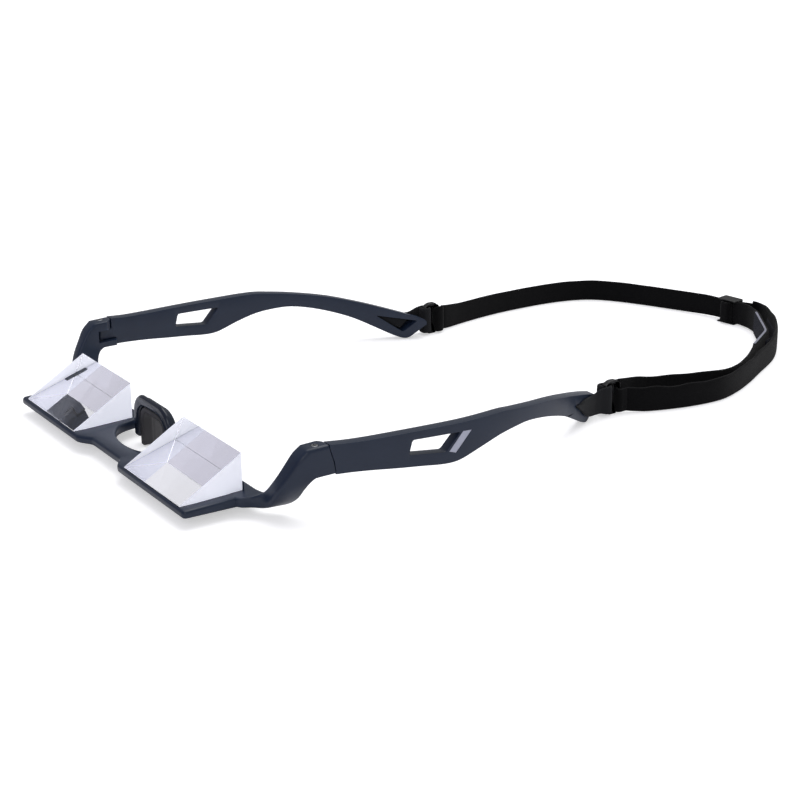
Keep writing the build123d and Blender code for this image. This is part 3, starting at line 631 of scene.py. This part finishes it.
# Temples: a plate cut out in the side view, its edges rounded, then bowed along the head
temple = {
    "upper": [(36.9, 21.9), (43, 21.3), (50, 21.0), (60, 20.8), (70, 20.6), (80, 20.4), (93, 20.3),
              (99, 19.7), (108, 18.5), (119.5, 16.5), (131, 13.4), (140, 10.5), (146, 8.4),
              (148.2, 7.6), (149.3, 6.5), (149.3, 5.4), (148.4, 4.6)],
    "lower": [(144.4, 1.2), (143.4, 0.65), (142.3, 0.55), (141.0, 0.85), (138, 2.2), (133, 5),
              (126.5, 8.5), (120, 11), (113, 13), (106, 14.2), (100, 14.1), (93.4, 13.3), (86, 11.3),
              (80, 9.4), (76.4, 8.8), (72, 9), (66, 9.8), (58.4, 10.7), (50, 11.8), (43, 12.5),
              (36.9, 12.9)],
    "outer": [(36.9, 71.7), (43, 72.2), (50, 72.9), (60, 73.7), (70, 74.35), (80, 74.7), (88, 74.45),
              (95, 73.6), (102, 72.2), (110, 69.9), (120, 65.9), (130, 60.8), (138, 56.2),
              (144, 52.7), (150.5, 49.2)],
    "thickness": 3.4, "slice": 1.6, "edge": 1.05, "smooth": 38, "through": 9.0,
    "window": [(62.8, 18.3), (78.9, 17.65), (73.9, 12.4), (61.6, 13.95)], "windowRound": 0.7,
    "insert": [(79.7, 17.7), (82.7, 17.5), (77.2, 11.5), (74.9, 12.3)], "insertDepth": 0.8,
    "tipWindow": [(133.5, 9.2), (146.4, 6.9), (141.8, 2.9)], "tipWindowRound": 0.6,
    "tipSlit": [(128.5, 7.9), (133.4, 7.0), (128.5, 7.4)], "slitDepth": 0.5,
    "skinX": 70.5, "cutFront": [(30.0, 9.0), (30.0, 24.0)], "seamGap": 0.25, "footGap": (0.3, 0.45),
    "tongue": (15.2, 18.5), "tongueRadius": 1.25, "tongueRoot": [(70.5, 37.8), (68.35, 37.8)],
    "bore": (0.84, 12.0, 25.0),
}
bow = softOutline(temple["outer"], 6)
through = temple["through"]
for side, sign in sides:
    profile = softOutline(temple["upper"]) + softOutline(temple["lower"])
    blank = plate(side + "Temple", profile, "side", -temple["thickness"], 0.0)
    for name in ("window", "tipWindow"):
        rim = roundCorners([(y, z, 0) for y, z in temple[name]], temple[name + "Round"])
        cut(blank, [(p.x, p.y) for p in rim], "side", -through, through)
    soften(blank, temple["edge"], clamp=True)
    cut(blank, temple["insert"], "side", -temple["insertDepth"], through)
    cut(blank, temple["tipSlit"], "side", -temple["slitDepth"], through)
    # room for the end piece's skin outside the hinge, and for its lower knuckle
    seam = temple["cutFront"] + [(y + temple["seamGap"], z) for y, z in arm["seam"]]
    cut(blank, seam, "side", temple["skinX"] - temple["outer"][0][1], through)
    ahead, bottom = temple["cutFront"][0]
    tongueLow = temple["tongue"][0]
    nearGap, farGap = temple["footGap"]
    below = [(ahead, bottom), (ahead, tongueLow), (arm["lowEnd"] + nearGap, tongueLow),
             (arm["lowEnd"] + farGap, bottom)]
    cut(blank, below, "side", -through, through)
    activate(blank)
    bpy.ops.object.mode_set(mode="EDIT")
    y = temple["upper"][0][0] + temple["slice"]
    while y < temple["upper"][-1][0]:
        bpy.ops.mesh.select_all(action="SELECT")
        bpy.ops.mesh.bisect(plane_co=at(0, y, 0), plane_no=(0, 1, 0))
        y += temple["slice"]
    bpy.ops.object.mode_set(mode="OBJECT")
    for vertex in blank.data.vertices:
        y = drawnY(vertex)
        slope = between(bow, y + 0.5) - between(bow, y - 0.5)
        deep = vertex.co.x * math.sqrt(1 + slope ** 2)
        vertex.co.x = sign * (between(bow, y) * mm + deep)
    tongue = temple["tongueRoot"] + arc(px, py, temple["tongueRadius"], 180, 360, 12)
    combine(blank, plate("tongue", sided(sign, tongue), "plan", *temple["tongue"]), "UNION")
    radius, low, high = temple["bore"]
    cut(blank, circle(sign * px, py, radius), "plan", low, high)
    tidyMesh(blank, 0.05)
    smoothShade(blank, temple["smooth"])
    dress(blank, mouldedNylon, side + "_arm", "frame_plastic", side + "_temple")
print("temples made")

# Nose arch: a hoop across the notch, with all its edges well rounded and its rear leaning down
arch = {
    "half": 12.0, "low": 2.7, "high": 17.3, "radius": 7.0, "innerHalf": 8.7, "innerHigh": 13.9,
    "innerRadius": 5.0, "front": 17.0, "rear": 20.4, "edge": 1.1,
    "lean": 1.2, "leanBack": 1.4, "leanFoot": 8, "leanRise": 10,
}


def hoopLine(half, low, high, radius, steps=10):  # an upside-down U, from its right foot to its left
    return mirrored([(half, low)] + arc(half - radius, high - radius, radius, 0, 90, steps))


outline = hoopLine(arch["half"], arch["low"], arch["high"], arch["radius"])
outline += reversed(hoopLine(arch["innerHalf"], arch["low"], arch["innerHigh"], arch["innerRadius"]))
hoop = plate("noseArch", outline, "front", arch["front"], arch["rear"])
soften(hoop, arch["edge"], 5)
for vertex in hoop.data.vertices:
    if vertex.co.y > at(0, arch["front"] + arch["leanBack"], 0).y:
        rise = (vertex.co.z / mm - arch["leanFoot"]) / arch["leanRise"]
        vertex.co.z -= arch["lean"] * mm * max(0, rise)
dress(hoop, polishedNylon, "front", "arch_plastic", "nose_arch")
print("nose arch made")

# Nose pad: a soft saddle inside the hoop with a flared wing for each side of the nose
pad = {
    "half": 8.58, "low": 0.5, "high": 13.78, "radius": 4.9, "thick": 2.0, "front": 17.6, "rear": 20.9,
    "wing": [(8.58, 19.6), (9.3, 21.6), (10.5, 24.0), (12.75, 27.3), (11.2, 27.35), (8.9, 24.6),
             (7.2, 21.9), (6.58, 19.6)],
    "side": [(18.6, 1.4), (19.4, 0.5), (20.8, 0.08), (24.2, 0.08), (26.0, 0.7), (27.2, 2.4),
             (27.4, 5.0), (26.4, 7.4), (24.4, 9.9), (22.2, 11.4), (20.4, 11.6), (18.6, 11.0)],
    "wingHeights": (-1.0, 16.0), "wingX": (5.0, 14.0), "voxel": 0.22, "smoothing": 18,
}
thick = pad["thick"]
outline = hoopLine(pad["half"], pad["low"], pad["high"], pad["radius"])
outline += reversed(hoopLine(
    pad["half"] - thick, pad["low"], pad["high"] - thick, pad["radius"] - thick))
saddle = plate("nosePad", outline, "front", pad["front"], pad["rear"])
wings = []
for side, sign in sides:
    wing = plate("wing", sided(sign, pad["wing"]), "plan", *pad["wingHeights"])
    low, high = pad["wingX"]
    combine(wing, plate("shape", pad["side"], "side", sign * low, sign * high), "INTERSECT")
    wings.append(wing)
activate(saddle)
for wing in wings:
    wing.select_set(True)
bpy.ops.object.join()
applyModifier(saddle, "REMESH", mode="VOXEL", voxel_size=pad["voxel"] * mm, use_smooth_shade=True)
applyModifier(saddle, "SMOOTH", factor=0.5, iterations=pad["smoothing"])
activate(saddle)
bpy.ops.object.shade_smooth()
dress(saddle, softRubber, "front", "pad_rubber", "nose_pad")
print("nose pad made")

# Webbing: a flat band swept along its plan, with rounded selvedges and its own weave coordinates
webbing = {"thick": 1.2, "thinner": 1.1, "round": 0.32, "waves": 0.16, "endRow": 0.06}


# A band through stations of x, y, low and high, with the weave's place kept on every point
def band(name, stations, thick=webbing["thick"], ripple=0.0, steps=4):
    line = smoothLine([Vector((x, y, low)) for x, y, low, high in stations], steps)
    highs = smoothLine([Vector((high, 0, 0)) for x, y, low, high in stations], steps)
    for rows in (line, highs):  # a second row close to each end keeps the ends square
        rows.insert(1, rows[0].lerp(rows[1], webbing["endRow"]))
        rows.insert(-1, rows[-1].lerp(rows[-2], webbing["endRow"]))
    sections, places, along = [], [], 0.0
    for i, point in enumerate(line):
        ahead, behind = line[min(i + 1, len(line) - 1)], line[max(i - 1, 0)]
        step = Vector((ahead.x - behind.x, ahead.y - behind.y))
        side = Vector((step.y, -step.x)).normalized()
        along += math.hypot(point.x - behind.x, point.y - behind.y)
        wave = ripple * noise.noise(Vector((along * webbing["waves"], len(name), 0.0)))
        low, high = point.z, highs[i].x + wave
        r, half = webbing["round"], thick / 2
        third, twoThirds = (2 * low + high) / 3, (low + 2 * high) / 3
        rim = [
            (half, low + r), (half, third), (half, twoThirds), (half, high - r),
            (half - r, high), (r - half, high), (-half, high - r), (-half, twoThirds),
            (-half, third), (-half, low + r), (r - half, low), (half - r, low),
        ]
        sections.append([at(point.x + side.x * a, point.y + side.y * a, z) for a, z in rim])
        places += [(along, z - low, a) for a, z in rim]
    obj = sweep(name, sections)
    weave = obj.data.attributes.new("weave", "FLOAT_VECTOR", "POINT")
    for value, place in zip(weave.data, places):
        value.vector = place
    applyModifier(obj, "SUBSURF", levels=1, render_levels=1)
    activate(obj)
    bpy.ops.object.shade_smooth()
    return obj


strap = {
    "lows": [(159.2, 0.68), (163.5, 0.12), (246.0, 0.12), (253.0, 0.5)],
    "right": [(-51.0, 159.15), (-51.3, 161.5), (-53.6, 170), (-55.4, 182), (-56.1, 194.4),
              (-55.2, 212), (-51.8, 224.5), (-45.6, 232.2), (-34.2, 239.6), (-19.6, 246.9),
              (-8.0, 251.7), (0.8, 253.5), (9.9, 255.4)],
    "rightHighs": [(159.2, 9.6), (170.0, 8.2), (200.0, 7.8), (246.0, 7.9), (255.15, 8.2),
                   (255.4, 8.9)],
    "leftOuter": [(53.2, 159.15), (54.5, 161.4), (56.6, 165.8), (59.6, 174.6), (61.4, 183.5),
                  (61.7, 192.7), (58.9, 202.3), (54.2, 212.4), (50.2, 219.6), (41.5, 235.2),
                  (31.2, 246.4), (20.9, 253.4), (13.8, 256.2), (9.95, 255.4)],
    "leftOuterHighs": [(159.2, 8.5), (170.0, 8.1), (200.0, 8.0), (225.0, 8.2), (245.0, 9.0),
                       (256.0, 9.6)],
    "leftInner": [(48.8, 159.15), (48.3, 162.0), (47.7, 166.0), (48.1, 173.0), (50.5, 182.0),
                  (52.9, 189.3), (55.4, 198.2), (54.9, 205), (51.0, 213.6), (45.2, 222.6),
                  (40.9, 229.5), (38.2, 234.0), (36.5, 236.8), (33.6, 239.2), (28.3, 242.9),
                  (18.7, 249.5), (12.6, 252.0), (8.0, 252.45), (3.7, 252.3)],
    "leftInnerHighs": [(159.2, 10.2), (165.0, 9.3), (171.0, 8.2), (180.0, 7.7), (208.0, 7.6),
                       (222.0, 8.7), (228.0, 9.0), (256.0, 9.0)],
    "ripple": {"right": 0.2, "leftOuter": 0.7, "leftInner": 0.3},
}


def strapRun(name, run):  # a run of the strap: its plan path, with its lows and highs over y
    highs = strap[run + "Highs"]
    stations = [(x, y, between(strap["lows"], y), between(highs, y)) for x, y in strap[run]]
    return band(name, stations, ripple=strap["ripple"][run])


dress(strapRun("rightStrap", "right"), elasticWebbing, "front", "webbing", "right_strap")
dress(strapRun("leftStrapOuter", "leftOuter"), elasticWebbing, "front", "webbing", "left_strap_outer")
inner = strapRun("leftStrapInner", "leftInner")
inner.data.materials.append(elasticWebbing)
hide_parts("left_strap_inner")
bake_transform(inner)
print("strap runs made")

# Sliders with rounded ends, the webbing loops at the temple tips and the strap's turns
slider = {
    "outline": [(151.3, 2.0), (152.1, 1.3), (152.7, 0.4), (153.5, 0.02), (155.4, 0.02), (156.2, 0.4),
                (156.8, 1.3), (157.6, 2.0), (157.6, 10.2), (156.8, 10.6), (156.2, 11.1),
                (155.4, 11.4), (153.5, 11.4), (152.7, 11.1), (152.1, 10.6), (151.3, 10.2)],
    "slots": ((152.2, 0.6, 154.0, 10.4), (154.9, 0.6, 156.7, 10.4)), "slotX": (40.0, 60.0),
    "x": 51.0, "thick": 2.2, "edge": 0.42,
}
tipLoop = {
    "band": [(57.2, 136.6, 7.0, 8.6), (56.1, 138.8, 5.0, 8.9), (54.9, 141.2, 3.0, 9.0),
             (53.8, 143.7, 2.0, 8.8), (52.95, 146.2, 1.7, 9.0), (52.75, 148.8, 1.6, 9.9),
             (53.05, 151.0, 1.0, 10.2), (53.0, 152.2, 0.95, 10.25), (52.5, 153.0, 0.95, 10.25),
             (51.0, 153.1, 0.95, 10.25), (49.5, 153.0, 0.95, 10.25), (49.0, 152.2, 0.95, 10.25),
             (49.0, 151.2, 0.95, 10.25), (49.5, 150.45, 0.95, 10.25), (51.0, 150.4, 0.95, 10.25),
             (51.7, 150.5, 0.95, 10.25)],
    "knot": [(133.9, 9.0), (143.6, 7.2), (141.3, 4.0), (136.6, 6.9)], "knotDepth": (-3.0, 1.0),
    "knotEdge": 0.3,
}
strapTurn = {
    "left": [(53.2, 159.12), (53.2, 157.6), (53.2, 156.6), (52.7, 155.85), (51.0, 155.8),
             (49.3, 155.85), (48.8, 156.6), (48.8, 157.6), (48.8, 159.12)],
    "right": [(51.2, 158.5), (52.6, 158.45), (53.2, 157.8), (53.2, 156.6), (52.7, 155.85),
              (51.0, 155.8), (49.3, 155.85), (48.8, 156.6), (48.8, 157.8), (49.4, 158.45),
              (50.8, 158.5)],
    "low": 0.68, "high": 8.5, "outerX": 53.2, "rise": 0.38,  # it climbs towards the head
}
for side, sign in sides:
    low, high = slider["x"] - slider["thick"] / 2, slider["x"] + slider["thick"] / 2
    buckle = plate(side + "Slider", slider["outline"], "side", sign * low, sign * high)
    low, high = slider["slotX"]
    for slot in slider["slots"]:
        cut(buckle, rectangle(*slot), "side", sign * low, sign * high)
    soften(buckle, slider["edge"])
    dress(buckle, bucklePlastic, side + "_arm", "buckle_plastic", side + "_strap_slider")

    knot = plate("knot", tipLoop["knot"], "side", *tipLoop["knotDepth"])
    for vertex in knot.data.vertices:
        vertex.co.x = sign * (vertex.co.x + between(bow, drawnY(vertex)) * mm)
    stations = [(sign * x, y, low, high) for x, y, low, high in tipLoop["band"]]
    loop = band(side + "TipLoop", stations, thick=webbing["thinner"])
    dress(loop, tipWebbing, side + "_arm", "webbing", side + "_tip_loop")
    soften(knot, tipLoop["knotEdge"])
    knot.name = side + "TipKnot"
    dress(knot, tipWebbing, side + "_arm", "webbing", side + "_tip_loop")

    low, high, rise = strapTurn["low"], strapTurn["high"], strapTurn["rise"]
    stations = [(sign * x, y, low, high + rise * (strapTurn["outerX"] - x)) for x, y in strapTurn[side]]
    turnBand = band(side + "StrapEnd", stations, thick=webbing["thinner"])
    dress(turnBand, elasticWebbing, side + "_arm", "webbing", side + "_strap_end")
print("sliders and loops made")

# Adjuster at the back: two outer bars behind the strap and a middle bar, the inner run turned round it
adjuster = {
    "place": (0.8, 253.5), "turn": 10.0, "block": (-4, -3.3, 4, 1.9), "corner": 0.7,
    "heights": (0.02, 9.05), "rails": (0.4, 8.5), "edge": 0.28,
    "hollow": [(-9, -9), (9, -9), (9, 0.9), (2.6, 0.9), (2.6, 9), (-2.6, 9), (-2.6, 0.9), (-9, 0.9)],
    "bar": (-0.7, -3.1, 0.7, -2.1), "barHeights": (0.3, 8.8),
    "ring": [(0.4, -0.95), (1.2, -0.95), (1.6, -1.5), (1.6, -2.6), (1.6, -3.4), (1.2, -4.0),
             (0.0, -4.05), (-1.2, -4.0), (-1.6, -3.4), (-1.6, -2.6), (-1.6, -1.5), (-1.2, -0.95),
             (0.3, -0.95)],
    "ringHeights": (0.5, 8.35),
}
swing = math.radians(adjuster["turn"])


def turned(outline):  # points of the adjuster's own plan, in the drawing
    x, y = adjuster["place"]
    along, across = math.cos(swing), math.sin(swing)
    return [(x + u * along - w * across, y + u * across + w * along) for u, w in outline]


outline = roundCorners(turned(rectangle(*adjuster["block"])), adjuster["corner"])
buckle = plate("strapAdjuster", outline, "plan", *adjuster["heights"])
cut(buckle, turned(adjuster["hollow"]), "plan", *adjuster["rails"])
bar = plate("bar", turned(rectangle(*adjuster["bar"])), "plan", *adjuster["barHeights"])
combine(buckle, bar, "UNION")
tidyMesh(buckle)
soften(buckle, adjuster["edge"], 2)
dress(buckle, bucklePlastic, "adjuster", "buckle_plastic", "strap_adjuster")
stations = [point + adjuster["ringHeights"] for point in turned(adjuster["ring"])]
ring = band("adjusterStrapEnd", stations, thick=webbing["thinner"])
dress(ring, elasticWebbing, "adjuster", "webbing", "adjuster_strap_end")
print("adjuster made")

# Label: a navy tape folded over the top edge of the inner run, with a light band along that edge as a
# painted highlight, and a dark tape behind it that fills the shaded gap between the runs as painted
# shade
label = {
    "path": [(44.3, 222.6), (40.0, 229.5), (37.3, 233.8), (35.7, 236.1), (32.9, 238.3),
             (27.7, 241.9), (18.2, 248.4)],
    "foldShift": (0.3, 0.35),
    "rear": [(42.6, 230.3), (41.0, 234.0), (39.3, 237.4), (36.2, 240.7), (31.0, 244.3),
             (24.0, 249.0)],
    "flank": (0.9, 8.95, 0.35), "fold": (8.85, 9.22, 0.75), "back": (0.2, 8.3, 0.5),
}
shiftX, shiftY = label["foldShift"]
foldPath = [(x + shiftX, y + shiftY) for x, y in label["path"]]
# the band along the label's folded top edge takes a light colour: a painted highlight of that lit edge
for name, path, heights, material in (("strapLabel", label["path"], label["flank"], labelTape),
                                      ("labelFold", foldPath, label["fold"], labelFold),
                                      # painted shade: a dark tape standing in the gap between the runs,
                                      # where only shade falls
                                      ("labelRear", label["rear"], label["back"], labelTape)):
    low, high, thick = heights
    tape = band(name, [(x, y, low, high) for x, y in path], thick=thick)
    dress(tape, material, "front", "label_fabric", "strap_label")
print("label made")

# Hinge screws: a shank and a low head with a cross recess
screw = {
    "shank": (0.75, 12.85, 21.4), "head": (1.08, 21.0, 21.95), "edge": 0.22, "smooth": 35,
    "recess": (0.65, 0.16), "recessHeights": (21.5, 26.0),
}
for side, sign in sides:
    radius, low, high = screw["shank"]
    bolt = plate(side + "HingeScrew", circle(sign * px, py, radius), "plan", low, high)
    radius, low, high = screw["head"]
    head = plate("head", circle(sign * px, py, radius), "plan", low, high)
    soften(head, screw["edge"])
    combine(bolt, head, "UNION")
    long, wide = screw["recess"]
    for a, b in ((long, wide), (wide, long)):
        groove = rectangle(sign * px - a, py - b, sign * px + a, py + b)
        cut(bolt, groove, "plan", *screw["recessHeights"])
    smoothShade(bolt, screw["smooth"])
    dress(bolt, screwSteel, "front", "screw_steel", side + "_hinge_screw")
print("screws made")

# Nodes kept from the part: their finishes only
for name, material in (("temple_insert", insertPlastic), ("hinge_nut", nutBrass)):
    for side, sign in sides:
        kept = nodes[side + "_" + name]
        kept.data.materials.clear()
        kept.data.materials.append(material)
